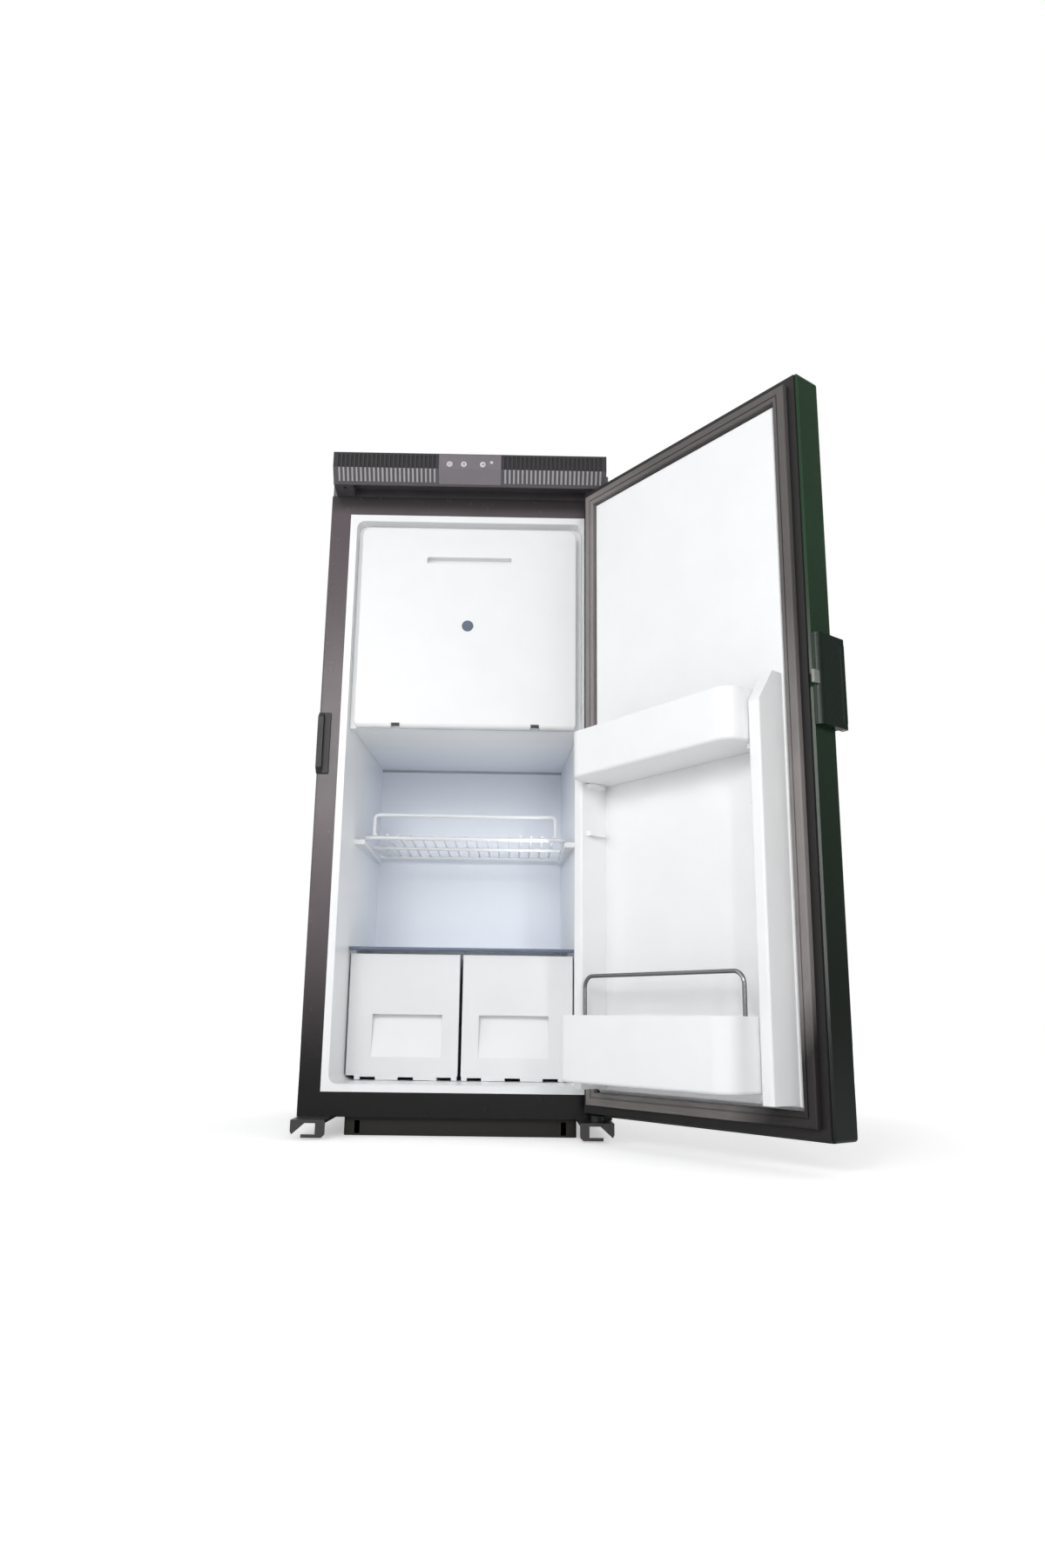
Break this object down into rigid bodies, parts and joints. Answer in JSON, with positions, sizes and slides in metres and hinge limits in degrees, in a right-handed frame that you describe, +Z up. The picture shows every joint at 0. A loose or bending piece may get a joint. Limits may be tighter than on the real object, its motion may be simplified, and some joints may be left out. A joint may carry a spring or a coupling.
{
  "type": "caravan compressor fridge",
  "caption": "Tall narrow compressor refrigerator for a caravan, with a side-hinged door on a latch, freezer flap, wire shelf, crispers, slotted vent panel and push-button controls.",
  "frame": {"origin": "centre of the flat underside of the base pan, on the floor", "axes": "+X to the right as seen from the front, +Y from the front frame to the back, +Z up"},
  "size_m": [0.66, 0.8184, 0.97],
  "materials": {
    "dark_plastic": "satin",
    "frame_grey": "satin",
    "panel_grey": "matte",
    "white_plastic": "gloss",
    "slate_plastic": "matte",
    "clear_cover": "gloss",
    "light_lens": "gloss",
    "grey_steel": "satin",
    "dark_steel": "matte",
    "bare_steel": "satin",
    "chrome_wire": "polished",
    "white_wire": "gloss",
    "door_green": "gloss",
    "seal_grey": "matte",
    "black_rubber": "matte",
    "foam_yellow": "matte",
    "board_green": "matte",
    "copper_brown": "satin",
    "black_metal": "satin",
    "acetal": "satin"
  },
  "bodies": {
    "cabinet": {"base_pan": "dark_steel", "bottom_panel": "grey_steel", "outer_casing": "grey_steel", "box_top_panel": "grey_steel", "back_panel": "grey_steel", "insulation_foam": "foam_yellow", "inner_liner": "white_plastic", "front_frame": "frame_grey", "vent_housing": "dark_plastic", "vent_panel": "dark_plastic", "control_panel": "panel_grey", "control_board": "board_green", "status_light": "light_lens", "hinge_bracket_left": "grey_steel", "hinge_bracket_right": "grey_steel", "hinge_pin_top": "bare_steel", "hinge_pin_bottom": "bare_steel", "hinge_spacer": "dark_plastic", "bracket_screws": "bare_steel", "latch_catch": "dark_plastic", "freezer_bezel": "white_plastic", "freezer_box": "white_plastic", "crisper_cover": "clear_cover", "cover_trim": "slate_plastic", "machine_tray": "grey_steel", "compressor": "black_metal", "compressor_mounts": "black_rubber", "control_module": "dark_plastic", "condenser": "black_metal", "condenser_straps": "grey_steel", "fan_frame": "dark_plastic", "drier": "copper_brown", "refrigerant_pipes": "copper_brown", "drip_tray": "dark_plastic", "terminal_block": "white_plastic"},
    "door": {"door_shell": "door_green", "door_foam": "foam_yellow", "door_liner": "white_plastic", "door_gasket": "seal_grey", "hinge_bush_top": "acetal", "hinge_bush_bottom": "acetal", "latch_housing": "dark_plastic", "handle_pin": "bare_steel"},
    "latch_handle": {"latch_handle": "dark_plastic"},
    "latch_pawl": {"latch_pawl": "acetal"},
    "upper_bin": {"upper_bin": "white_plastic"},
    "lower_bin": {"lower_bin": "white_plastic", "bottle_rail": "chrome_wire"},
    "freezer_flap": {"freezer_flap": "white_plastic", "flap_hinge_pins": "bare_steel", "flap_disc": "slate_plastic"},
    "wire_shelf": {"wire_shelf": "white_wire"},
    "crisper_left": {"crisper_left": "white_plastic"},
    "crisper_right": {"crisper_right": "white_plastic"},
    "power_button": {"power_button": "panel_grey"},
    "mode_button": {"mode_button": "panel_grey"},
    "level_button": {"level_button": "panel_grey"},
    "fan_rotor": {"fan_rotor": "dark_plastic"}
  },
  "joints": [
    {"name": "door_hinge", "type": "hinge", "parent": "cabinet", "child": "door", "pos_m": [0.187, -0.2615, 0.475], "axis": [0, 0, 1], "range_deg": [-127, 8]},
    {"name": "latch_handle_hinge", "type": "hinge", "parent": "door", "child": "latch_handle", "pos_m": [0.44451, -0.55047, 0.531], "axis": [0, 0, -1], "range_deg": [0, 18]},
    {"name": "latch_pawl_slide", "type": "slide", "parent": "door", "child": "latch_pawl", "axis": [-0.6018, 0.7986, 0], "range_m": [0, 0.003]},
    {"name": "upper_bin_lift", "type": "slide", "parent": "door", "child": "upper_bin", "axis": [0, 0, 1], "range_m": [0, 0.012]},
    {"name": "lower_bin_lift", "type": "slide", "parent": "door", "child": "lower_bin", "axis": [0, 0, 1], "range_m": [0, 0.012]},
    {"name": "freezer_flap_hinge", "type": "hinge", "parent": "cabinet", "child": "freezer_flap", "pos_m": [0, -0.224, 0.571], "axis": [1, 0, 0], "range_deg": [0, 90]},
    {"name": "wire_shelf_slide", "type": "slide", "parent": "cabinet", "child": "wire_shelf", "axis": [0, -1, 0], "range_m": [0, 0.13]},
    {"name": "crisper_left_slide", "type": "slide", "parent": "cabinet", "child": "crisper_left", "axis": [0, -1, 0], "range_m": [0, 0.14]},
    {"name": "crisper_right_slide", "type": "slide", "parent": "cabinet", "child": "crisper_right", "axis": [0, -1, 0], "range_m": [0, 0.14]},
    {"name": "power_button_press", "type": "slide", "parent": "cabinet", "child": "power_button", "axis": [0, 1, 0], "range_m": [0, 0.0008], "stiffness_N_per_m": 400},
    {"name": "mode_button_press", "type": "slide", "parent": "cabinet", "child": "mode_button", "axis": [0, 1, 0], "range_m": [0, 0.0008], "stiffness_N_per_m": 400},
    {"name": "level_button_press", "type": "slide", "parent": "cabinet", "child": "level_button", "axis": [0, 1, 0], "range_m": [0, 0.0008], "stiffness_N_per_m": 400},
    {"name": "fan_spin", "type": "hinge", "parent": "cabinet", "child": "fan_rotor", "pos_m": [0.07, 0.1595, 0.072], "axis": [0, 1, 0], "continuous": true}
  ],
  "couplings": [
    {"joint": "latch_pawl_slide", "follows": "latch_handle_hinge", "m_per_rad": 0.0095493}
  ]
}
